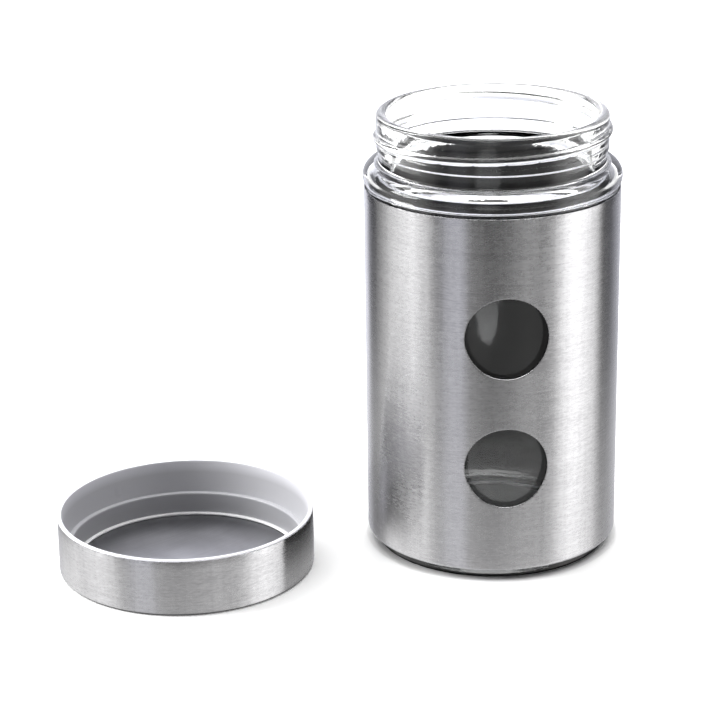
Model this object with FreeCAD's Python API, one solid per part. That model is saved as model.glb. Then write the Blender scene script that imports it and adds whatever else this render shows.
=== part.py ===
import FreeCAD, Part
import math
import os

# Storage jar of clear glass in a brushed steel sleeve with two round windows, and its screw lid.
# The jar stands on the origin with its axis on +Z and its windows facing -Y.
# The lid lies beside it, open side up, as it does when the jar is in use.
# All sizes are in millimetres, and angles are in degrees.

# Sleeve
SLEEVE_R = 50.0
SLEEVE_WALL = 0.5
SLEEVE_BOTTOM_Z = 4.0
SLEEVE_TOP_Z = 146.7
SLEEVE_BEND_R = 1.5
SLEEVE_LIP_R = 47.2
WINDOW_R = 16.05
WINDOW_HEIGHTS = (47.1, 99.6)

# Glass jar, outside
BODY_R = 49.3
FOOT_R = 46.5
FOOT_STEP_Z = 4.7
FOOT_RING_WIDTH = 5.0
FOOT_ROUND_R = 1.0
PUSH_UP = 1.6
SHOULDER_R = 50.5
SHOULDER_Z = 151.0
SHOULDER_BEND_R = 5.0
NECK_R = 44.35
NECK_FILLET_R = 1.6
NECK_STEP_Z = 161.4
NECK_STEP_RUN = 0.6
LIP_R = 45.1
LIP_ROUND_R = 2.0
RIM_Z = 176.0

# Glass jar, inside
BODY_WALL = 3.5
BASE_THICKNESS = 5.4
INNER_HEEL_R = 8.0
INNER_SHOULDER_Z = 150.5
INNER_SHOULDER_BEND_R = 1.2
INNER_SHOULDER_SLOPE = 72.0
MOUTH_R = 40.3

# Screw thread, right-handed, one start; the root overlap sinks its section into the wall
THREAD_PITCH = 6.6
THREAD_TURNS = 1.0
THREAD_CREST_R = 46.4
THREAD_HALF_WIDTH = 1.5
THREAD_ROOT_OVERLAP = 0.4
THREAD_START_Z = 165.1
THREAD_START_ANGLE = 127.0

# Lid, in its own height above the surface that it lies on
LID_X = -123.9
LID_Y = -18.8
LID_R = 50.6
LID_WALL = 0.5
LID_BEND_R = 1.3
LID_HEIGHT = 23.2
FLANGE_THICKNESS = 0.7
INSERT_MOUTH_R = 48.9
INSERT_GAP = 0.05
INSERT_WALL = 1.3
LEDGE_Z = 10.0
LEDGE_OUTER_R = 47.4
LEDGE_R = 45.6
LEDGE_THICKNESS = 1.3
LEDGE_ROUND_R = 0.5
SEAL_R = 44.2
SEAL_THICKNESS = 1.0
LID_THREAD_TURNS = 0.42
LID_THREAD_CREST_R = 45.95
LID_THREAD_HALF_WIDTH = 1.1
LID_THREAD_ROOT_OVERLAP = 0.9
LID_THREAD_START_Z = 15.4
LID_THREAD_START_ANGLE = 195.0

AXIS = FreeCAD.Vector(0, 0, 1)
ORIGIN = FreeCAD.Vector(0, 0, 0)
TOWARDS_BACK = FreeCAD.Vector(0, 1, 0)
TOUCHING = 1e-6


def at(radius, height):
    """A point of a turned profile: distance from the axis, and height."""
    return FreeCAD.Vector(radius, 0, height)


def line(start, end):
    return Part.LineSegment(at(*start), at(*end)).toShape()


def bend(centre, radius, start_angle, end_angle):
    """An arc of the profile, with angles from the outward direction towards +Z."""
    points = []
    for degrees in (start_angle, (start_angle + end_angle) / 2, end_angle):
        angle = math.radians(degrees)
        points.append(at(centre[0] + radius * math.cos(angle), centre[1] + radius * math.sin(angle)))
    return Part.Arc(*points).toShape()


def join_up(steps):
    """Chains profile steps: a pair is a straight run to that point, a longer tuple is a bend."""
    edges = []
    here = steps[0]
    for step in steps[1:]:
        if len(step) == 2:
            edges.append(line(here, step))
            here = step
            continue
        edge = bend(*step)
        first = edge.valueAt(edge.FirstParameter)
        last = edge.valueAt(edge.LastParameter)
        if math.hypot(first.x - here[0], first.z - here[1]) > TOUCHING:
            edges.append(line(here, (first.x, first.z)))
        edges.append(edge)
        here = (last.x, last.z)
    if math.hypot(here[0] - steps[0][0], here[1] - steps[0][1]) > TOUCHING:
        edges.append(line(here, steps[0]))
    return edges


def turned(steps):
    """Revolves a closed profile into a solid."""
    face = Part.Face(Part.Wire(join_up(steps)))
    return face.revolve(ORIGIN, AXIS, 360)


def helical_ridge(root_r, crest_r, half_width, turns, start_z, start_angle):
    """A rounded ridge that climbs round the axis. root_r lies inside the wall it grows from."""
    path = Part.makeHelix(THREAD_PITCH, THREAD_PITCH * turns, root_r)
    low = at(root_r, -half_width)
    crest = at(crest_r, 0)
    high = at(root_r, half_width)
    section = Part.Wire([Part.Arc(low, crest, high).toShape(), Part.LineSegment(high, low).toShape()])
    ridge = Part.Wire(path.Edges).makePipeShell([section], True, True)
    ridge.rotate(ORIGIN, AXIS, start_angle)
    ridge.translate(FreeCAD.Vector(0, 0, start_z))
    return ridge


def glass_jar():
    """One piece of glass: foot ring, thick base, straight wall, bulging shoulder, threaded neck."""
    inner_r = BODY_R - BODY_WALL
    foot_inner_r = FOOT_R - FOOT_RING_WIDTH
    heel_round = BODY_R - FOOT_R
    floor_z = PUSH_UP + BASE_THICKNESS
    shoulder_centre_r = SHOULDER_R - SHOULDER_BEND_R
    shoulder_top_z = SHOULDER_Z + SHOULDER_BEND_R
    undercut = math.degrees(math.acos((BODY_R - shoulder_centre_r) / SHOULDER_BEND_R))

    slope = math.radians(INNER_SHOULDER_SLOPE)
    bend_r = INNER_SHOULDER_BEND_R
    slope_run = inner_r - MOUTH_R - 2 * bend_r * (1 - math.cos(slope))
    throat_z = INNER_SHOULDER_Z + 2 * bend_r * math.sin(slope) + slope_run / math.tan(slope)

    jar = turned([
        (0, PUSH_UP),
        (foot_inner_r - FOOT_ROUND_R, PUSH_UP),
        (foot_inner_r, 0),
        ((FOOT_R - FOOT_ROUND_R, FOOT_ROUND_R), FOOT_ROUND_R, -90, 0),
        (FOOT_R, FOOT_STEP_Z),
        ((FOOT_R, FOOT_STEP_Z + heel_round), heel_round, -90, 0),
        ((shoulder_centre_r, SHOULDER_Z), SHOULDER_BEND_R, -undercut, 90),
        ((NECK_R + NECK_FILLET_R, shoulder_top_z + NECK_FILLET_R), NECK_FILLET_R, 270, 180),
        (NECK_R, NECK_STEP_Z),
        (LIP_R, NECK_STEP_Z + NECK_STEP_RUN),
        ((LIP_R - LIP_ROUND_R, RIM_Z - LIP_ROUND_R), LIP_ROUND_R, 0, 90),
        ((MOUTH_R + LIP_ROUND_R, RIM_Z - LIP_ROUND_R), LIP_ROUND_R, 90, 180),
        ((MOUTH_R + bend_r, throat_z), bend_r, 180, 180 + INNER_SHOULDER_SLOPE),
        ((inner_r - bend_r, INNER_SHOULDER_Z), bend_r, INNER_SHOULDER_SLOPE, 0),
        ((inner_r - INNER_HEEL_R, floor_z + INNER_HEEL_R), INNER_HEEL_R, 0, -90),
        (0, floor_z),
    ])
    ridge = helical_ridge(
        LIP_R - THREAD_ROOT_OVERLAP,
        THREAD_CREST_R,
        THREAD_HALF_WIDTH,
        THREAD_TURNS,
        THREAD_START_Z,
        THREAD_START_ANGLE,
    )
    return jar.fuse(ridge)


def steel_sleeve():
    """A tube with its lower edge bent in under the glass heel, and two round windows in front."""
    bend_centre = (SLEEVE_R - SLEEVE_BEND_R, SLEEVE_BOTTOM_Z + SLEEVE_BEND_R)
    sleeve = turned([
        (SLEEVE_LIP_R, SLEEVE_BOTTOM_Z),
        (bend_centre, SLEEVE_BEND_R, -90, 0),
        (SLEEVE_R, SLEEVE_TOP_Z),
        (SLEEVE_R - SLEEVE_WALL, SLEEVE_TOP_Z),
        (bend_centre, SLEEVE_BEND_R - SLEEVE_WALL, 0, -90),
        (SLEEVE_LIP_R, SLEEVE_BOTTOM_Z + SLEEVE_WALL),
    ])
    for height in WINDOW_HEIGHTS:
        in_front = FreeCAD.Vector(0, -2 * SLEEVE_R, height)
        sleeve = sleeve.cut(Part.makeCylinder(WINDOW_R, 2 * SLEEVE_R, in_front, TOWARDS_BACK))
    return sleeve


def lid_shell():
    """The brushed steel cap: a shallow drawn cup with a bent edge, lying on its flat top."""
    steel_height = LID_HEIGHT - FLANGE_THICKNESS
    bend_centre = (LID_R - LID_BEND_R, LID_BEND_R)
    return turned([
        (0, 0),
        (bend_centre, LID_BEND_R, -90, 0),
        (LID_R, steel_height),
        (LID_R - LID_WALL, steel_height),
        (bend_centre, LID_BEND_R - LID_WALL, 0, -90),
        (0, LID_WALL),
    ])


def lid_insert():
    """The white moulding inside the cap: rim flange, skirt with the thread, ledge and inner ring."""
    skirt_r = LID_R - LID_WALL - INSERT_GAP
    steel_height = LID_HEIGHT - FLANGE_THICKNESS
    flange_round = FLANGE_THICKNESS / 2
    ring_outer_r = LEDGE_R + INSERT_WALL
    ring_bottom_z = LID_WALL + SEAL_THICKNESS + INSERT_GAP
    insert = turned([
        (ring_outer_r, ring_bottom_z),
        (ring_outer_r, LEDGE_Z - LEDGE_THICKNESS),
        (skirt_r, LEDGE_Z - LEDGE_THICKNESS),
        (skirt_r, steel_height + INSERT_GAP),
        ((LID_R - flange_round, LID_HEIGHT - flange_round), flange_round, -60, 90),
        ((INSERT_MOUTH_R + flange_round, LID_HEIGHT - flange_round), flange_round, 90, 180),
        (LEDGE_OUTER_R, LEDGE_Z),
        ((LEDGE_R + LEDGE_ROUND_R, LEDGE_Z - LEDGE_ROUND_R), LEDGE_ROUND_R, 90, 180),
        (LEDGE_R, ring_bottom_z),
    ])
    ridge = helical_ridge(
        LEDGE_OUTER_R + LID_THREAD_ROOT_OVERLAP,
        LID_THREAD_CREST_R,
        LID_THREAD_HALF_WIDTH,
        LID_THREAD_TURNS,
        LID_THREAD_START_Z,
        LID_THREAD_START_ANGLE,
    )
    return insert.fuse(ridge)


def lid_seal():
    """A flat soft ring, held in the corner of the cap by the insert's inner ring."""
    outer_r = LEDGE_R + INSERT_WALL
    edge_round = SEAL_THICKNESS / 2
    return turned([
        (outer_r, LID_WALL),
        (outer_r, LID_WALL + SEAL_THICKNESS),
        ((SEAL_R + edge_round, LID_WALL + edge_round), edge_round, 90, 270),
    ])


def beside_jar(shape):
    shape.translate(FreeCAD.Vector(LID_X, LID_Y, 0))
    return shape


NODES = {
    "glass_jar": glass_jar(),
    "steel_sleeve": steel_sleeve(),
    "lid_shell": beside_jar(lid_shell()),
    "lid_insert": beside_jar(lid_insert()),
    "lid_seal": beside_jar(lid_seal()),
}

os.makedirs("parts", exist_ok=True)
for name, shape in NODES.items():
    shape.exportStep("parts/" + name + ".step")
    print(name, len(shape.Solids), "solid, valid:", shape.isValid(), round(shape.Volume / 1000, 2), "cm3")
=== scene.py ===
import math

import bpy
from mathutils import Matrix, Vector, noise


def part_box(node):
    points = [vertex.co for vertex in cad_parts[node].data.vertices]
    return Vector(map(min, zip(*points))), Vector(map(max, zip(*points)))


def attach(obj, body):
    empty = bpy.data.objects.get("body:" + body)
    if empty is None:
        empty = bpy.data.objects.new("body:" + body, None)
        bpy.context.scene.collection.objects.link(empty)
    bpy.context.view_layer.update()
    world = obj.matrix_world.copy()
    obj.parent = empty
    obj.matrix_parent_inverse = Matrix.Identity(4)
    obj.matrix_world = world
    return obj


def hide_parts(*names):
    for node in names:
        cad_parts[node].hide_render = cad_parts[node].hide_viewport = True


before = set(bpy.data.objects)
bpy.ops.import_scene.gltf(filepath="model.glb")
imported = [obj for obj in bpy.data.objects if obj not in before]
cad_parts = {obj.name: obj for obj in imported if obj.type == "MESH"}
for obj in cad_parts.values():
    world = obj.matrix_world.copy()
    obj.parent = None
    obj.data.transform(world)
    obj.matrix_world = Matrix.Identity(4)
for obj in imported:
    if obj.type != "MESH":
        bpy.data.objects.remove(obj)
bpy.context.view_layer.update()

# Lengths are in metres, angles in degrees, in the frame of the CAD model.

MM = 0.001

# A turned shape has COLUMNS points round it, and its arcs are cut into steps of at most ARC_STEP.
COLUMNS = 360
ARC_STEP = 7.5
NOTHING = 1e-7

# ---------------------------------------------------------------- sizes, from the frame and the design

sleeve_low, sleeve_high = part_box("steel_sleeve")
jar_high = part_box("glass_jar")[1]
lid_low, lid_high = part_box("lid_shell")
insert_low, insert_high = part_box("lid_insert")

SLEEVE_R = sleeve_high.x
SLEEVE_WALL = 0.5 * MM
SLEEVE_BEND_R = 1.5 * MM
SLEEVE_EDGE_R = 0.2 * MM
SLEEVE_LIP_R = 47.2 * MM
WINDOW_R = 16.05 * MM
WINDOW_HEIGHTS = (47.1 * MM, 99.6 * MM)

BODY_R = 49.3 * MM
BODY_WALL = 3.5 * MM
FOOT_R = 46.5 * MM
FOOT_STEP_Z = 4.7 * MM
FOOT_RING_WIDTH = 5.0 * MM
PUSH_UP = 1.6 * MM
BASE_THICKNESS = 5.4 * MM
INNER_HEEL_R = 8.0 * MM
SHOULDER_R = jar_high.x
SHOULDER_Z = 151.0 * MM
SHOULDER_BEND_R = 5.0 * MM
NECK_R = 44.35 * MM
NECK_STEP_Z = 161.4 * MM
LIP_R = 45.1 * MM
LIP_ROUND_R = 2.0 * MM
MOUTH_R = 40.3 * MM
MOUTH_TAPER = 0.55 * MM
INNER_SHOULDER_Z = 150.5 * MM
INNER_SHOULDER_R = 1.2 * MM
INNER_SHOULDER_SLOPE = 72
INNER_UNEVENNESS = 0.22 * MM
OUTER_UNEVENNESS = 0.04 * MM
RIM_Z = jar_high.z

THREAD_PITCH = 6.6 * MM
THREAD_CREST_R = 46.4 * MM
THREAD_HALF_WIDTH = 1.5 * MM
THREAD_START_Z = 165.1 * MM
THREAD_START = 127.0

LID_CENTRE = (lid_low + lid_high) / 2
LID_R = (lid_high.x - lid_low.x) / 2
LID_WALL = 0.5 * MM
LID_BEND_R = 1.3 * MM
LID_EDGE_R = 0.12 * MM
STEEL_HEIGHT = lid_high.z
LID_HEIGHT = insert_high.z
INSERT_MOUTH_R = 48.9 * MM
LEDGE_Z = 10.0 * MM
LEDGE_OUTER_R = 47.4 * MM
LEDGE_R = 45.6 * MM
LEDGE_THICKNESS = 1.3 * MM
INSERT_WALL = 1.3 * MM
SEAL_R = 44.2 * MM
SEAL_THICKNESS = 1.0 * MM
LID_THREAD_CREST_R = 45.95 * MM
LID_THREAD_HALF_WIDTH = 1.1 * MM
LID_THREAD_START_Z = 15.4 * MM
LID_THREAD_START = 195.0
LID_THREAD_TURNS = 0.42
THREAD_MESH_STEP = 0.3 * MM
PLAIN_MESH_STEP = 4 * MM
TICK_ANGLE = 125.8
TICK_HALF_ANGLE = 1.2
TICK_LOW_Z = 12.8 * MM
TICK_HIGH_Z = 16.4 * MM
TICK_DEPTH = 0.25 * MM


# ---------------------------------------------------------------- turned shapes

def outline(steps, spacing=lambda radius, height: PLAIN_MESH_STEP):
    """Points of a turned profile. A pair is a straight run to that point; a longer tuple is an arc:
    its centre, radius, first and last angle, from the outward direction towards +Z. spacing gives the
    longest step of a straight run."""
    points = [steps[0]]

    def straight_to(end):
        start = points[-1]
        length = math.dist(start, end)
        if length < NOTHING:
            return
        middle = ((start[0] + end[0]) / 2, (start[1] + end[1]) / 2)
        count = max(1, math.ceil(length / spacing(*middle)))
        for i in range(1, count + 1):
            t = i / count
            points.append((start[0] + t * (end[0] - start[0]), start[1] + t * (end[1] - start[1])))

    for step in steps[1:]:
        if len(step) == 2:
            straight_to(step)
            continue
        centre, radius, first, last = step
        count = max(2, math.ceil(abs(last - first) / ARC_STEP))
        for i in range(count + 1):
            angle = math.radians(first + (last - first) * i / count)
            point = (centre[0] + radius * math.cos(angle), centre[1] + radius * math.sin(angle))
            if i == 0:
                straight_to(point)
            else:
                points.append(point)
    return points


def turned(name, points, centre=(0, 0), closed=True, grow=None):
    """A mesh of revolution about a vertical axis. grow(angle, radius, height) may move the surface out."""
    vertices, rings, faces = [], [], []
    for radius, height in points:
        if radius < NOTHING:
            rings.append([len(vertices)] * COLUMNS)
            vertices.append((centre[0], centre[1], height))
            continue
        ring = []
        for i in range(COLUMNS):
            angle = math.radians(360 * i / COLUMNS)
            reach = radius + (grow(angle, radius, height) if grow else 0)
            ring.append(len(vertices))
            vertices.append((
                centre[0] + reach * math.cos(angle),
                centre[1] + reach * math.sin(angle),
                height,
            ))
        rings.append(ring)
    pairs = list(zip(rings, rings[1:]))
    if closed:
        pairs.append((rings[-1], rings[0]))
    for lower, upper in pairs:
        if lower[0] == lower[1] and upper[0] == upper[1]:
            continue
        for i in range(COLUMNS):
            j = (i + 1) % COLUMNS
            corners = [lower[i], lower[j], upper[j], upper[i]]
            faces.append(list(dict.fromkeys(corners)))
    return new_piece(name, vertices, faces)


def new_piece(name, vertices, faces):
    mesh = bpy.data.meshes.new(name)
    mesh.from_pydata(vertices, [], faces)
    mesh.update()
    piece = bpy.data.objects.new(name, mesh)
    bpy.context.scene.collection.objects.link(piece)
    return piece


def settle(piece, sharp_angle=35):
    """Applies the piece's modifiers and shades it smooth, apart from its sharp edges."""
    bpy.context.view_layer.update()
    evaluated = piece.evaluated_get(bpy.context.evaluated_depsgraph_get())
    mesh = bpy.data.meshes.new_from_object(evaluated)
    piece.modifiers.clear()
    piece.data = mesh
    mesh.name = piece.name
    mesh.shade_smooth()
    mesh.set_sharp_from_angle(angle=math.radians(sharp_angle))
    return piece


def sheet_metal(piece, thickness, edge_r):
    """Gives an outer surface its thickness inwards, and rounds the cut edges. The inner side takes the
    piece's second material."""
    wall = piece.modifiers.new("thickness", "SOLIDIFY")
    wall.thickness = thickness
    wall.offset = -1
    wall.material_offset = 1
    rounding = piece.modifiers.new("edges", "BEVEL")
    rounding.width = edge_r
    rounding.segments = 2
    rounding.limit_method = "ANGLE"
    rounding.angle_limit = math.radians(50)
    return settle(piece)


def ridge(start, start_z, pitch, turns, half_width, height, run_in, run_out):
    """The height of a right-handed rounded thread above its root, as a function of angle and height.
    It rises over run_in degrees at its lower end, and falls over run_out degrees at its upper end."""
    def reach(angle, z):
        best = 0
        part_turn = ((math.degrees(angle) - start) % 360) / 360
        for whole_turns in range(2):
            along = part_turn + whole_turns
            across = (z - start_z - pitch * along) / half_width
            if along > turns or abs(across) >= 1:
                continue
            ends = min(360 * along / run_in, 360 * (turns - along) / run_out)
            fade = math.sin(min(1, ends) * math.pi / 2)
            best = max(best, height * fade * (1 - across ** 2) ** 0.8)
        return best
    return reach


# ---------------------------------------------------------------- glass jar

def build_glass():
    inner_r = BODY_R - BODY_WALL
    foot_inner_r = FOOT_R - FOOT_RING_WIDTH
    foot_round = 1.0 * MM
    heel_round = BODY_R - FOOT_R
    floor_z = PUSH_UP + BASE_THICKNESS
    neck_fillet = 1.6 * MM
    shoulder_top_z = SHOULDER_Z + SHOULDER_BEND_R
    shoulder_centre_r = SHOULDER_R - SHOULDER_BEND_R
    undercut = math.degrees(math.acos((BODY_R - shoulder_centre_r) / SHOULDER_BEND_R))
    throat_r = MOUTH_R - MOUTH_TAPER
    bend_r = INNER_SHOULDER_R
    slope = math.radians(INNER_SHOULDER_SLOPE)
    run = inner_r - throat_r - 2 * bend_r * (1 - math.cos(slope))
    throat_z = INNER_SHOULDER_Z + 2 * bend_r * math.sin(slope) + run / math.tan(slope)
    step_run = 0.6 * MM
    steps = [
        (0, PUSH_UP),
        (foot_inner_r - foot_round, PUSH_UP),
        (foot_inner_r, 0),
        ((FOOT_R - foot_round, foot_round), foot_round, -90, 0),
        (FOOT_R, FOOT_STEP_Z),
        ((FOOT_R, FOOT_STEP_Z + heel_round), heel_round, -90, 0),
        ((shoulder_centre_r, SHOULDER_Z), SHOULDER_BEND_R, -undercut, 90),
        ((NECK_R + neck_fillet, shoulder_top_z + neck_fillet), neck_fillet, 270, 180),
        (NECK_R, NECK_STEP_Z),
        (LIP_R, NECK_STEP_Z + step_run),
        ((LIP_R - LIP_ROUND_R, RIM_Z - LIP_ROUND_R), LIP_ROUND_R, 0, 90),
        ((MOUTH_R + MOUTH_TAPER + LIP_ROUND_R, RIM_Z - LIP_ROUND_R), LIP_ROUND_R, 90, 180),
        (throat_r, NECK_STEP_Z - 1.4 * MM),
        ((throat_r + bend_r, throat_z), bend_r, 180, 180 + INNER_SHOULDER_SLOPE),
        ((inner_r - bend_r, INNER_SHOULDER_Z), bend_r, INNER_SHOULDER_SLOPE, 0),
        ((inner_r - INNER_HEEL_R, floor_z + INNER_HEEL_R), INNER_HEEL_R, 0, -90),
        (0, floor_z),
    ]
    thread = ridge(
        THREAD_START, THREAD_START_Z, THREAD_PITCH, 1.0, THREAD_HALF_WIDTH, THREAD_CREST_R - LIP_R,
        run_in=12, run_out=75,
    )
    waves_round = 2.2
    wave_height = 14 * MM

    def in_neck(radius, height):
        return radius > NECK_R - 0.5 * MM and height > shoulder_top_z + neck_fillet

    def spacing(radius, height):
        return THREAD_MESH_STEP if in_neck(radius, height) else PLAIN_MESH_STEP

    def grow(angle, radius, height):
        """The thread, and the slight unevenness of blown glass, which is strongest inside."""
        if radius < foot_inner_r or height < FOOT_STEP_Z:
            return 0
        inside = radius < inner_r + 0.2 * MM and not in_neck(radius, height)
        drift = (math.cos(angle) * waves_round, math.sin(angle) * waves_round, height / wave_height)
        uneven = (INNER_UNEVENNESS if inside else OUTER_UNEVENNESS) * noise.noise(Vector(drift))
        if not inside and radius > BODY_R - 0.1 * MM:
            uneven = min(uneven, 0)
        return uneven + (thread(angle, height) if in_neck(radius, height) else 0)

    piece = turned("jar_glass", outline(steps, spacing), grow=grow)
    return settle(piece, 60)


# ---------------------------------------------------------------- steel sleeve

def build_sleeve():
    """One sheet in rows and columns, one column for each degree. Round each window, a square patch of
    the grid is left out, and rings lead from the patch's border to the round edge."""
    bend_centre = (SLEEVE_R - SLEEVE_BEND_R, sleeve_low.z + SLEEVE_BEND_R)
    patch_half = (WINDOW_HEIGHTS[1] - WINDOW_HEIGHTS[0]) / 2
    patch_rows = 36
    patch_columns = 24
    ring_count = 12
    ring_crowding = 0.8
    facing = 270

    lip = outline([(SLEEVE_LIP_R, sleeve_low.z), (bend_centre, SLEEVE_BEND_R, -90, 0)])
    low_z = WINDOW_HEIGHTS[0] - patch_half
    high_z = WINDOW_HEIGHTS[1] + patch_half
    rows = lip + outline([(SLEEVE_R, bend_centre[1]), (SLEEVE_R, low_z)])[1:]
    first_patch_row = len(rows) - 1
    step = 2 * patch_half / patch_rows
    rows += [(SLEEVE_R, low_z + step * i) for i in range(1, 2 * patch_rows + 1)]
    last_patch_row = len(rows) - 1
    rows += outline([(SLEEVE_R, high_z), (SLEEVE_R, sleeve_high.z)])[1:]

    vertices, faces = [], []

    def place(degrees, radius, height):
        angle = math.radians(degrees)
        vertices.append((radius * math.cos(angle), radius * math.sin(angle), height))
        return len(vertices) - 1

    def in_patch(row, column):
        inside_rows = first_patch_row < row < last_patch_row
        between = (row - first_patch_row) % patch_rows == 0
        offset = (column - facing + 180) % 360 - 180
        return inside_rows and not between and abs(offset) < patch_columns

    grid = {}
    for row, (radius, height) in enumerate(rows):
        for column in range(COLUMNS):
            if not in_patch(row, column):
                grid[row, column] = place(column, radius, height)
    for row in range(len(rows) - 1):
        for column in range(COLUMNS):
            offset = (column - facing + 180) % 360 - 180
            covered = first_patch_row <= row < last_patch_row and -patch_columns <= offset < patch_columns
            if not covered:
                beside = (column + 1) % COLUMNS
                corners = (row, column), (row, beside), (row + 1, beside), (row + 1, column)
                faces.append([grid[corner] for corner in corners])

    for index, centre_z in enumerate(WINDOW_HEIGHTS):
        bottom = first_patch_row + index * patch_rows
        top = bottom + patch_rows
        left, right = facing - patch_columns, facing + patch_columns
        edge = [(bottom, c) for c in range(left, right)]
        edge += [(r, right) for r in range(bottom, top)]
        edge += [(top, c) for c in range(right, left, -1)]
        edge += [(r, left) for r in range(top, bottom, -1)]
        previous = [grid[row, column % COLUMNS] for row, column in edge]
        for ring in range(1, ring_count + 1):
            t = (ring / ring_count) ** ring_crowding
            current = []
            for row, column in edge:
                height = rows[row][1]
                across = math.radians(column - facing) * SLEEVE_R
                turn = math.atan2(height - centre_z, across)
                hole_angle = math.degrees(math.asin(WINDOW_R * math.cos(turn) / SLEEVE_R))
                hole_z = centre_z + WINDOW_R * math.sin(turn)
                angle = (column - facing) * (1 - t) + hole_angle * t
                current.append(place(facing + angle, SLEEVE_R, height * (1 - t) + hole_z * t))
            for i in range(len(edge)):
                j = (i + 1) % len(edge)
                faces.append([previous[i], previous[j], current[j], current[i]])
            previous = current
    return new_piece("sleeve_sheet", vertices, faces)


# ---------------------------------------------------------------- lid

def build_cap():
    bend_centre = (LID_R - LID_BEND_R, LID_BEND_R)
    steps = [(0, 0), (bend_centre, LID_BEND_R, -90, 0), (LID_R, STEEL_HEIGHT)]
    return turned("cap_sheet", outline(steps), LID_CENTRE[:2], closed=False)


def build_insert():
    gap = 0.05 * MM
    skirt_r = LID_R - LID_WALL - gap
    flange_round = (LID_HEIGHT - STEEL_HEIGHT) / 2
    ring_outer_r = LEDGE_R + INSERT_WALL
    ring_bottom_z = insert_low.z
    ledge_round = 0.5 * MM
    steps = [
        (ring_outer_r, ring_bottom_z),
        (ring_outer_r, LEDGE_Z - LEDGE_THICKNESS),
        (skirt_r, LEDGE_Z - LEDGE_THICKNESS),
        (skirt_r, STEEL_HEIGHT + gap),
        ((LID_R - flange_round, LID_HEIGHT - flange_round), flange_round, -60, 90),
        ((INSERT_MOUTH_R + flange_round, LID_HEIGHT - flange_round), flange_round, 90, 180),
        (LEDGE_OUTER_R, LEDGE_Z),
        ((LEDGE_R + ledge_round, LEDGE_Z - ledge_round), ledge_round, 90, 180),
        (LEDGE_R, ring_bottom_z),
    ]
    depth = LEDGE_OUTER_R + 0.4 * MM - LID_THREAD_CREST_R
    thread = ridge(
        LID_THREAD_START, LID_THREAD_START_Z, THREAD_PITCH, LID_THREAD_TURNS, LID_THREAD_HALF_WIDTH, depth,
        run_in=20, run_out=20,
    )

    def on_skirt(radius, height):
        return LEDGE_OUTER_R - 0.2 * MM < radius < INSERT_MOUTH_R + 0.1 * MM and height > LEDGE_Z

    def spacing(radius, height):
        return THREAD_MESH_STEP if on_skirt(radius, height) else PLAIN_MESH_STEP

    def grow(angle, radius, height):
        """The thread, and a small upright moulding mark, both inwards."""
        if not on_skirt(radius, height):
            return 0
        beside_tick = abs(math.degrees(angle) - TICK_ANGLE)
        on_tick = beside_tick < TICK_HALF_ANGLE and TICK_LOW_Z < height < TICK_HIGH_Z
        return -max(thread(angle, height), TICK_DEPTH if on_tick else 0)

    piece = turned("insert_moulding", outline(steps, spacing), LID_CENTRE[:2], grow=grow)
    return settle(piece)


def build_seal():
    floor_z = LID_WALL
    outer_r = LEDGE_R + INSERT_WALL
    edge_round = SEAL_THICKNESS / 2
    steps = [
        (outer_r, floor_z),
        (outer_r, floor_z + SEAL_THICKNESS),
        ((SEAL_R + edge_round, floor_z + edge_round), edge_round, 90, 270),
    ]
    return settle(turned("seal_ring", outline(steps), LID_CENTRE[:2]))


# ---------------------------------------------------------------- materials

class Nodes:
    """Adds nodes to a tree and links them in one call. An input is named, or numbered as i0, i1 and so on."""

    def __init__(self, tree):
        self.tree = tree

    def add(self, kind, settings=None, **inputs):
        node = self.tree.nodes.new(kind)
        for key, value in (settings or {}).items():
            setattr(node, key, value)
        for key, value in inputs.items():
            self.put(node, key.replace("_", " "), value)
        return node

    def put(self, node, key, value):
        numbered = key[0] == "i" and key[1:].isdigit()
        target = node.inputs[int(key[1:])] if numbered else node.inputs[key]
        if isinstance(value, bpy.types.NodeSocket):
            self.tree.links.new(value, target)
        else:
            target.default_value = value

    def math(self, operation, first, second=0.0):
        return self.add("ShaderNodeMath", {"operation": operation}, i0=first, i1=second).outputs[0]

    def range(self, value, low, high, first=0.0, last=1.0, shape="LINEAR"):
        return self.add(
            "ShaderNodeMapRange", {"interpolation_type": shape},
            Value=value, From_Min=low, From_Max=high, To_Min=first, To_Max=last,
        ).outputs["Result"]

    def noise(self, vector, scale, detail=2.0, roughness=0.5):
        return self.add(
            "ShaderNodeTexNoise", None, Vector=vector, Scale=scale, Detail=detail, Roughness=roughness
        ).outputs["Fac"]

    def distance(self, place, centre):
        node = self.add("ShaderNodeVectorMath", {"operation": "DISTANCE"}, i0=place, i1=centre)
        return node.outputs["Value"]

    def mix(self, factor, first, second):
        """A colour between two. Each is three numbers, or the colour output of another node."""
        node = self.add("ShaderNodeMix", {"data_type": "RGBA"}, Factor=factor)
        for key, colour in (("i6", first), ("i7", second)):
            is_link = isinstance(colour, bpy.types.NodeSocket)
            self.put(node, key, colour if is_link else (*colour, 1))
        return node.outputs[2]

    def bump(self, height, strength, depth):
        node = self.add("ShaderNodeBump", None, Strength=strength, Distance=depth, Height=height)
        return node.outputs[0]


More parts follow.
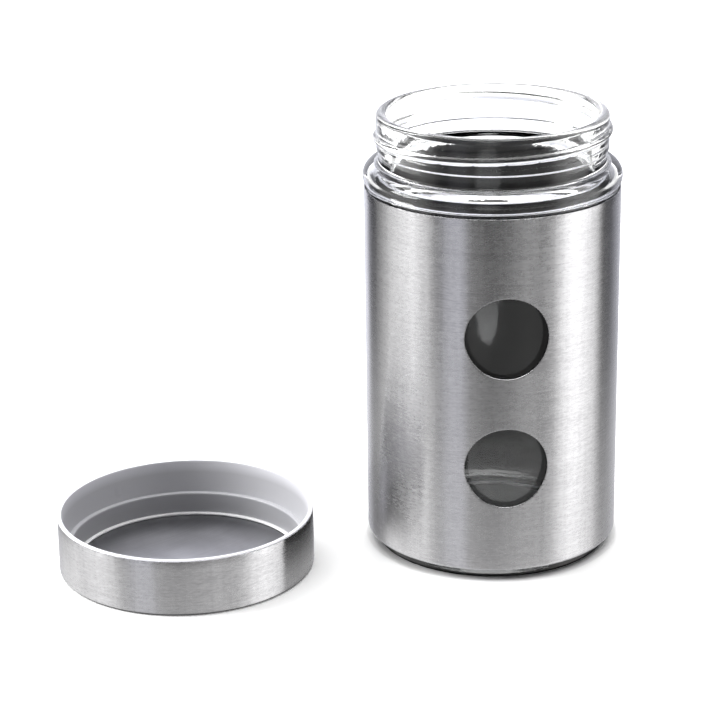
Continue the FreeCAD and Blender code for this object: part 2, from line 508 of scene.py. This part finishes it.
class Shader(Nodes):
    """A new material, with the place on the piece as a node output. Colours are linear RGB."""

    def __init__(self, name):
        self.material = bpy.data.materials.new(name)
        self.material.use_nodes = True
        super().__init__(self.material.node_tree)
        self.surface = self.tree.nodes["Principled BSDF"]
        self.place = self.add("ShaderNodeTexCoord").outputs["Object"]

    def xyz(self):
        return self.add("ShaderNodeSeparateXYZ", None, Vector=self.place).outputs

    def finish(self, **inputs):
        """Sets the surface, and gives the material."""
        for key, value in inputs.items():
            self.put(self.surface, key.replace("_", " "), value)
        return self.material

    def finish_as_light(self, strength, share=None):
        """Makes the surface plain white light, and clear where share is below 1. Gives the material."""
        self.tree.nodes.remove(self.surface)
        shown = self.add("ShaderNodeEmission", None, i0=(1, 1, 1, 1), i1=strength).outputs[0]
        if share is not None:
            clear = self.add("ShaderNodeBsdfTransparent").outputs[0]
            shown = self.add("ShaderNodeMixShader", None, i0=share, i1=clear, i2=shown).outputs[0]
        self.tree.links.new(shown, self.tree.nodes["Material Output"].inputs["Surface"])
        return self.material


# The black of painted shade and painted contact shadow.
PAINTED_SHADE_BLACK = (0.02, 0.02, 0.02)


def brushed_steel(name, centre, light, dark, roughness, painted_edge_shade=None):
    """Stainless steel brushed round a vertical axis: fine grain that runs round the piece. The last, optional
    argument gives painted contact shadow on the lowest edge: the heights between which it fades out, and the
    radius it starts at."""
    shader = Shader(name)
    parts = shader.xyz()
    x = shader.math("SUBTRACT", parts["X"], centre[0])
    y = shader.math("SUBTRACT", parts["Y"], centre[1])
    square = shader.math("ADD", shader.math("MULTIPLY", x, x), shader.math("MULTIPLY", y, y))
    radius = shader.math("SQRT", square)
    across = shader.math("ADD", parts["Z"], radius)

    def grain(along, over, weight):
        """Noise with its own scale along the brushing and over it."""
        vector = shader.add(
            "ShaderNodeCombineXYZ",
            None,
            X=shader.math("MULTIPLY", x, along),
            Y=shader.math("MULTIPLY", y, along),
            Z=shader.math("MULTIPLY", across, over),
        )
        return shader.math("MULTIPLY", shader.noise(vector.outputs[0], 1.0, 2.0, 0.6), weight)

    cloud = shader.noise(shader.place, 26.0, 3.0, 0.55)
    hairs = shader.math("ADD", grain(450, 1500, 0.45), grain(60, 1500, 0.25))
    bands = shader.math("ADD", grain(14, 300, 0.15), grain(700, 20, 0.15))
    streaks = shader.math("ADD", hairs, bands)
    colour = shader.mix(shader.range(streaks, 0.38, 0.62), dark, light)
    # Painted contact shadow: the lowest edge of the bend fades to nearly black.
    if painted_edge_shade:
        low_z, high_z, edge_r = painted_edge_shade
        low = shader.range(parts["Z"], low_z, high_z, 1.0, 0.0)
        far_out = shader.range(radius, edge_r - 1 * MM, edge_r)
        colour = shader.mix(shader.math("MULTIPLY", low, far_out), colour, PAINTED_SHADE_BLACK)
    rough = shader.math(
        "ADD",
        shader.range(streaks, 0.3, 0.7, -0.05, 0.05),
        shader.range(cloud, 0.3, 0.7, roughness - 0.03, roughness + 0.04),
    )
    tangent = shader.add("ShaderNodeTangent", {"direction_type": "RADIAL", "axis": "Z"})
    return shader.finish(
        Base_Color=colour, Metallic=1.0, Roughness=rough,
        Anisotropic=0.98, Anisotropic_Rotation=0.25, Tangent=tangent.outputs[0],
        Normal=shader.bump(streaks, 0.15, 0.02 * MM),
    )


def mill_steel(name, dark, light, spread, painted_edge_shade=None):
    """The plain inside of a sheet metal piece: slightly mottled, with faint curved rubbing marks. The
    smaller spread is, the stronger they are. The last, optional argument gives painted shade towards the
    edge: a centre, and the radii between which the metal darkens."""
    marks_centre = (-0.20, 0.09, 0)
    shader = Shader(name)
    mottle = shader.noise(shader.place, 55.0, 4.0, 0.6)
    stretched = shader.add("ShaderNodeVectorMath", {"operation": "SCALE"}, i0=shader.place, Scale=35.0)
    parts = shader.add("ShaderNodeSeparateXYZ", None, Vector=stretched.outputs[0]).outputs
    rings = shader.math("MULTIPLY", shader.distance(shader.place, marks_centre), 900.0)
    along = shader.add("ShaderNodeCombineXYZ", None, X=rings, Y=parts["Y"], Z=parts["Z"])
    marks = shader.noise(along.outputs[0], 1.0, 2.0, 0.6)
    uneven = shader.math("ADD", shader.math("MULTIPLY", mottle, 0.7), shader.math("MULTIPLY", marks, 0.3))
    colour = shader.mix(shader.range(uneven, 0.5 - spread, 0.5 + spread), dark, light)
    # Painted shade: the metal darkens towards the edge, by the wall round it.
    if painted_edge_shade:
        centre, inner_r, outer_r = painted_edge_shade
        shade = shader.range(shader.distance(shader.place, centre), inner_r, outer_r, 0.0, 0.62)
        colour = shader.mix(shade, colour, PAINTED_SHADE_BLACK)
    rough = shader.range(mottle, 0.3, 0.7, 0.285, 0.305)
    return shader.finish(Base_Color=colour, Metallic=1.0, Roughness=rough)


def clear_glass():
    """Clear glass with slight waves, strongest on the neck. Its colour carries painted shade: grey through
    the base, and nearly black in the foot ring, where shade falls under the jar."""
    foot_inner_r = FOOT_R - FOOT_RING_WIDTH
    base_top_z = 26.0 * MM
    clear = (0.985, 0.99, 0.99)
    painted_base_grey = (0.33, 0.34, 0.34)
    shader = Shader("clear_glass")
    height = shader.xyz()["Z"]
    ripple = shader.noise(shader.place, 90.0, 3.0, 0.5)
    grain = shader.math("MULTIPLY", shader.noise(shader.place, 900.0, 2.0, 0.6), 0.06)
    share = shader.range(height, SHOULDER_Z, NECK_STEP_Z, 0.3, 1.0)
    waves = shader.math("MULTIPLY", shader.math("ADD", ripple, grain), share)
    film = shader.noise(shader.place, 30.0, 3.0, 0.5)
    flat = shader.add("ShaderNodeVectorMath", {"operation": "MULTIPLY"}, i0=shader.place, i1=(1, 1, 0))
    radius = shader.distance(flat.outputs[0], (0, 0, 0))
    # Painted shade under the jar: the base is tinted grey, the foot ring nearly black.
    base = shader.mix(shader.range(radius, foot_inner_r, foot_inner_r + 1 * MM), painted_base_grey, PAINTED_SHADE_BLACK)
    colour = shader.mix(shader.range(height, base_top_z / 2, base_top_z), base, clear)
    return shader.finish(
        Base_Color=colour, Roughness=shader.range(film, 0.45, 0.8, 0.0, 0.03),
        IOR=1.52, Transmission_Weight=1.0, Normal=shader.bump(waves, 0.3, 0.6 * MM),
    )


def white_plastic():
    """Moulded plastic. Its colour carries painted shade, darker deeper inside the lid and just under the
    ledge, and painted light along the top of the rim.
    """
    shader = Shader("white_plastic")
    height = shader.xyz()["Z"]
    cloud = shader.noise(shader.place, 40.0, 3.0, 0.5)
    grain = shader.noise(shader.place, 1800.0, 2.0, 0.5)
    colour = shader.mix(cloud, (0.75, 0.75, 0.79), (0.81, 0.81, 0.845))
    # Painted shade and light by height: the colour is scaled down deeper inside the lid and under the ledge,
    # and up again at the rim.
    upper = shader.range(height, LID_HEIGHT - 5 * MM, LID_HEIGHT - 1 * MM, 0.58, 0.92)
    lower = shader.range(height, LEDGE_Z - 1 * MM, LEDGE_Z - 0.3 * MM, -0.17, 0.0)
    rim = shader.range(height, LID_HEIGHT - 1 * MM, LID_HEIGHT - 0.5 * MM, 0.0, 0.08)
    share = shader.math("ADD", shader.math("ADD", upper, lower), rim)
    shaded_by_height = shader.add("ShaderNodeVectorMath", {"operation": "SCALE"}, i0=colour, Scale=share)
    return shader.finish(
        Base_Color=shaded_by_height.outputs[0], Specular_IOR_Level=0.8,
        Roughness=shader.range(cloud, 0.3, 0.7, 0.29, 0.32),
        Normal=shader.bump(grain, 0.08, 0.02 * MM),
    )


def white_silicone():
    shader = Shader("white_silicone")
    cloud = shader.noise(shader.place, 90.0, 3.0, 0.5)
    colour = shader.mix(cloud, (0.74, 0.74, 0.75), (0.84, 0.84, 0.85))
    return shader.finish(Base_Color=colour, Roughness=0.42, Normal=shader.bump(cloud, 0.15, 0.05 * MM))


# ---------------------------------------------------------------- the object

glass = build_glass()
glass.data.materials.append(clear_glass())

sleeve = build_sleeve()
sleeve.data.materials.append(brushed_steel(
    "sleeve_steel", (0, 0), light=(0.71, 0.705, 0.715), dark=(0.52, 0.515, 0.525), roughness=0.26
))
# The inside colours are far darker than bare steel: painted shade for the dim inside of the sleeve.
sleeve.data.materials.append(mill_steel(
    "sleeve_inside", dark=(0.075, 0.075, 0.077), light=(0.095, 0.095, 0.098), spread=1.0
))
sheet_metal(sleeve, SLEEVE_WALL, SLEEVE_EDGE_R)

cap = build_cap()
# The cap's lowest edge carries painted contact shadow, and its inside floor painted shade towards the edge.
cap.data.materials.append(brushed_steel(
    "cap_steel", LID_CENTRE[:2], light=(0.72, 0.715, 0.725), dark=(0.51, 0.505, 0.515), roughness=0.27,
    painted_edge_shade=(0.45 * MM, 1.0 * MM, LID_R - LID_BEND_R),
))
cap.data.materials.append(mill_steel(
    "cap_inside", dark=(0.46, 0.46, 0.49), light=(0.62, 0.62, 0.655), spread=0.2,
    painted_edge_shade=((LID_CENTRE.x, LID_CENTRE.y, 0), 26 * MM, 44 * MM),
))
sheet_metal(cap, LID_WALL, LID_EDGE_R)

insert = build_insert()
insert.data.materials.append(white_plastic())

seal = build_seal()
seal.data.materials.append(white_silicone())

for piece, body, node, slot_name in (
    (glass, "jar", "glass_jar", "clear_glass"),
    (sleeve, "jar", "steel_sleeve", "sleeve_steel"),
    (cap, "lid", "lid_shell", "lid_steel"),
    (insert, "lid", "lid_insert", "white_plastic"),
    (seal, "lid", "lid_seal", "white_silicone"),
):
    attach(piece, body)
    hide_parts(node)


# ---------------------------------------------------------------- studio

CAMERA_PLACE = Vector((-0.1118, -0.9106, 0.4077))
CAMERA_YAW = 3.6
CAMERA_PITCH = 19.88
CAMERA_ROLL = 0.905
CAMERA_LENS = 123.9
CAMERA_SENSOR = 36


def build_camera():
    yaw, pitch, roll = (math.radians(a) for a in (CAMERA_YAW, CAMERA_PITCH, CAMERA_ROLL))
    ahead = Vector((math.sin(yaw) * math.cos(pitch), math.cos(yaw) * math.cos(pitch), -math.sin(pitch)))
    level = Vector((math.cos(yaw), -math.sin(yaw), 0))
    down = ahead.cross(level)
    right = math.cos(roll) * level + math.sin(roll) * down
    up = math.sin(roll) * level - math.cos(roll) * down
    turn = Matrix((right, up, -ahead)).transposed().to_4x4()
    lens = bpy.data.cameras.new("camera")
    lens.lens = CAMERA_LENS
    lens.sensor_width = CAMERA_SENSOR
    lens.clip_end = 50
    camera = bpy.data.objects.new("camera", lens)
    camera.matrix_world = Matrix.Translation(CAMERA_PLACE) @ turn
    bpy.context.scene.collection.objects.link(camera)
    bpy.context.scene.camera = camera


def towards_camera(azimuth, distance, height):
    """A place round the jar: azimuth 0 is the camera's side, and positive azimuths are on its right."""
    camera_angle = math.atan2(CAMERA_PLACE.y, CAMERA_PLACE.x)
    angle = camera_angle + math.radians(azimuth)
    return Vector((distance * math.cos(angle), distance * math.sin(angle), height))


def softbox(name, azimuth, distance, height, width, tall, power, aim):
    light = bpy.data.lights.new(name, "AREA")
    light.shape = "RECTANGLE"
    light.size = width
    light.size_y = tall
    light.energy = power
    lamp = bpy.data.objects.new(name, light)
    lamp.location = towards_camera(azimuth, distance, height)
    lamp.rotation_euler = (Vector(aim) - lamp.location).to_track_quat("-Z", "Y").to_euler()
    bpy.context.scene.collection.objects.link(lamp)
    return lamp


def build_floor(dark_reach, light_reach):
    """A white sheet lit from above. It also gives light itself: a little everywhere but under the jar,
    and more between dark_reach and light_reach from the object."""
    half = 15.0
    near_glow = 0.22
    far_glow = 0.8
    corners = [(-half, -half, 0), (half, -half, 0), (half, half, 0), (-half, half, 0)]
    floor = new_piece("floor", corners, [[0, 1, 2, 3]])
    shader = Shader("floor_white")
    colour = shader.mix(shader.noise(shader.place, 3.0, 2.0, 0.5), (0.92,) * 3, (0.94,) * 3)
    between_jar_and_lid = shader.distance(shader.place, (-0.055, 0, 0))
    far = shader.range(between_jar_and_lid, dark_reach, light_reach, 0.0, far_glow, "SMOOTHSTEP")
    from_jar = shader.distance(shader.place, (0, 0, 0))
    near = shader.range(from_jar, SLEEVE_R + 0.3 * MM, SLEEVE_R + 2 * MM, 0.0, near_glow)
    floor.data.materials.append(shader.finish(
        Base_Color=colour, Roughness=0.9,
        Emission_Color=(1, 1, 1, 1), Emission_Strength=shader.math("MAXIMUM", near, far),
    ))
    floor.visible_glossy = False


# The surroundings: an azimuth in degrees from the camera's side, and the brightness there.
BANDS = [
    # behind the jar on the left
    (-180, 1.20), (-150, 1.20), (-143, 0.14), (-128, 0.08), (-119, 0.40), (-108, 0.70), (-104, 0.95),
    # on the left
    (-94, 1.15), (-72, 1.60), (-68, 1.10), (-60, 0.95), (-53, 0.28), (-44, 0.28), (-41, 0.62),
    # in front
    (-27, 0.66), (-20, 0.20), (0, 0.09), (16, 0.18), (34, 0.36), (48, 0.26), (58, 0.50),
    # on the right
    (66, 1.30), (80, 2.00), (92, 1.60), (106, 1.20), (115, 0.14), (132, 0.12),
    # behind the jar on the right
    (142, 0.38), (152, 0.50), (160, 0.80), (180, 1.00),
]
COOL = (0.93, 0.94, 1.03)
COOL_BEHIND = 125
COOL_LEFT = (-45, -25)
CEILING = 0.20


def surroundings_by_azimuth(nodes, direction):
    """The colour of the surroundings in a direction: BANDS, slightly blue behind and at the front left."""
    dot = {"operation": "DOT_PRODUCT"}
    front = towards_camera(0, 1, 0)
    side = towards_camera(90, 1, 0)
    ahead = nodes.add("ShaderNodeVectorMath", dot, i0=direction, i1=front).outputs["Value"]
    across = nodes.add("ShaderNodeVectorMath", dot, i0=direction, i1=side).outputs["Value"]
    azimuth = nodes.math("ARCTAN2", across, ahead)
    ramp = nodes.add("ShaderNodeValToRGB", None, i0=nodes.range(azimuth, -math.pi, math.pi))
    elements = ramp.color_ramp.elements
    elements.remove(elements[-1])
    for index, (degrees, level) in enumerate(BANDS):
        position = degrees / 360 + 0.5
        element = elements[0] if index == 0 else elements.new(position)
        element.position = position
        is_cool = abs(degrees) > COOL_BEHIND or COOL_LEFT[0] < degrees < COOL_LEFT[1]
        element.color = (*(level * part for part in (COOL if is_cool else (1, 1, 1))), 1)
    return ramp.outputs["Color"]


def build_world():
    """Bands of light and dark round the jar, and a grey ceiling. They light no matt surface."""
    world = bpy.data.worlds.new("studio")
    bpy.context.scene.world = world
    world.use_nodes = True
    nodes = Nodes(world.node_tree)
    direction = nodes.add("ShaderNodeTexCoord").outputs["Generated"]
    round_about = surroundings_by_azimuth(nodes, direction)
    height = nodes.add("ShaderNodeSeparateXYZ", None, i0=direction).outputs["Z"]
    ceiling_share = nodes.range(height, 0.5, 0.8, shape="SMOOTHSTEP")
    background = world.node_tree.nodes["Background"]
    nodes.put(background, "Color", nodes.mix(ceiling_share, round_about, (CEILING,) * 3))
    nodes.put(background, "Strength", 1.0)
    world.cycles_visibility.diffuse = False


def build_helper(name, corners, material, seen_by="glossy", face=(0, 1, 2, 3)):
    """A flat piece of the studio that only glossy rays see, or only rays that come out of glass."""
    piece = new_piece(name, corners, [face])
    piece.data.materials.append(material)
    piece.visible_camera = False
    piece.visible_diffuse = False
    piece.visible_glossy = seen_by == "glossy"
    piece.visible_transmission = seen_by == "transmission"
    piece.visible_shadow = False


def build_sheet_reflection(near, reach):
    """The white sheet as the steel shows it: strongest at the foot, fading out with distance, with the
    line of contact and the shaded gap between jar and lid in black."""
    shader = Shader("sheet_glow")

    def cover(centre, radius, fade, amount):
        apart = shader.distance(shader.place, centre)
        return shader.range(apart, radius, radius + fade, amount, 0.0, "SMOOTHSTEP")

    def strongest(first, *others):
        for other in others:
            first = shader.math("MAXIMUM", first, other)
        return first

    jar_foot = (0, 0, 0)
    lid_foot = (LID_CENTRE.x, LID_CENTRE.y, 0)
    gap = towards_camera(-108, 0.079, 0)
    lit = strongest(cover(jar_foot, SLEEVE_R, reach, near), cover(lid_foot, LID_R, reach, near * 1.1))
    shaded = strongest(
        cover(jar_foot, FOOT_R, 3 * MM, 1.0),
        cover(lid_foot, LID_R - 1 * MM, 3 * MM, 1.0),
        cover(gap, 25 * MM, 40 * MM, 0.6),
    )
    material = shader.finish_as_light(shader.range(shaded, 0.0, 1.0, 1.0, 0.0), strongest(lit, shaded))
    half = 1.2
    z = 0.1 * MM
    corners = [(-half, -half, z), (half, -half, z), (half, half, z), (-half, half, z)]
    build_helper("sheet_reflection", corners, material)


def build_side_card(level):
    """A light card low on the far side of the lid. It brightens the lid's left side and not the jar's."""
    ends = towards_camera(-105, 0.262, 0), towards_camera(-84, 0.302, 0)
    bottom, top = Vector((0, 0, -0.30)), Vector((0, 0, -0.03))
    corners = [ends[0] + bottom, ends[1] + bottom, ends[1] + top, ends[0] + top]
    build_helper("side_card", corners, Shader("card_glow").finish_as_light(level))


def build_flag(level):
    """A black flag between lid and jar. Only the lid's side of it is black, the jar's side is clear."""
    aside = towards_camera(-90, 0.052, 0)
    ends = aside + towards_camera(0, 0.058, 0), aside + towards_camera(180, 0.025, 0)
    bottom, top = Vector((0, 0, -0.25)), Vector((0, 0, 0.15))
    corners = [ends[0] + bottom, ends[1] + bottom, ends[1] + top, ends[0] + top]
    shader = Shader("flag_black")
    behind = shader.add("ShaderNodeNewGeometry").outputs["Backfacing"]
    material = shader.finish_as_light(level, shader.math("SUBTRACT", 1.0, behind))
    build_helper("black_flag", corners, material, face=(3, 2, 1, 0))


def build_dark_front(near, fade, level):
    """A grey sheet in front of the jar that only rays coming out of the glass see: painted shade in what the
    glass shows, while the floor stays white.
    """
    front = towards_camera(0, 1, 0)
    side = towards_camera(90, 1, 0)
    lift = Vector((0, 0, 0.2 * MM))
    near_edge, far_edge = front * 0.06 + lift, front * 1.5 + lift
    corners = [near_edge - side, near_edge + side, far_edge + side, far_edge - side]
    shader = Shader("front_dark")
    apart = shader.distance(shader.place, (0, 0, 0))
    share = shader.range(apart, near, near + fade, shape="SMOOTHSTEP")
    material = shader.finish_as_light(level, share)
    build_helper("dark_front", corners, material, seen_by="transmission")


build_camera()
build_floor(dark_reach=0.25, light_reach=0.80)
build_world()
build_sheet_reflection(near=0.48, reach=0.34)
build_side_card(level=1.6)
build_flag(level=0.04)
build_dark_front(near=0.12, fade=0.10, level=0.55)
softbox("softbox_top", 180, 0.18, 1.0, width=1.8, tall=1.1, power=23.0, aim=(-0.05, 0, 0))
fill = softbox("softbox_left", -90, 1.2, 0.6, width=0.8, tall=0.6, power=25.0, aim=LID_CENTRE)
fill.visible_glossy = False

bpy.context.scene.view_settings.view_transform = "Standard"
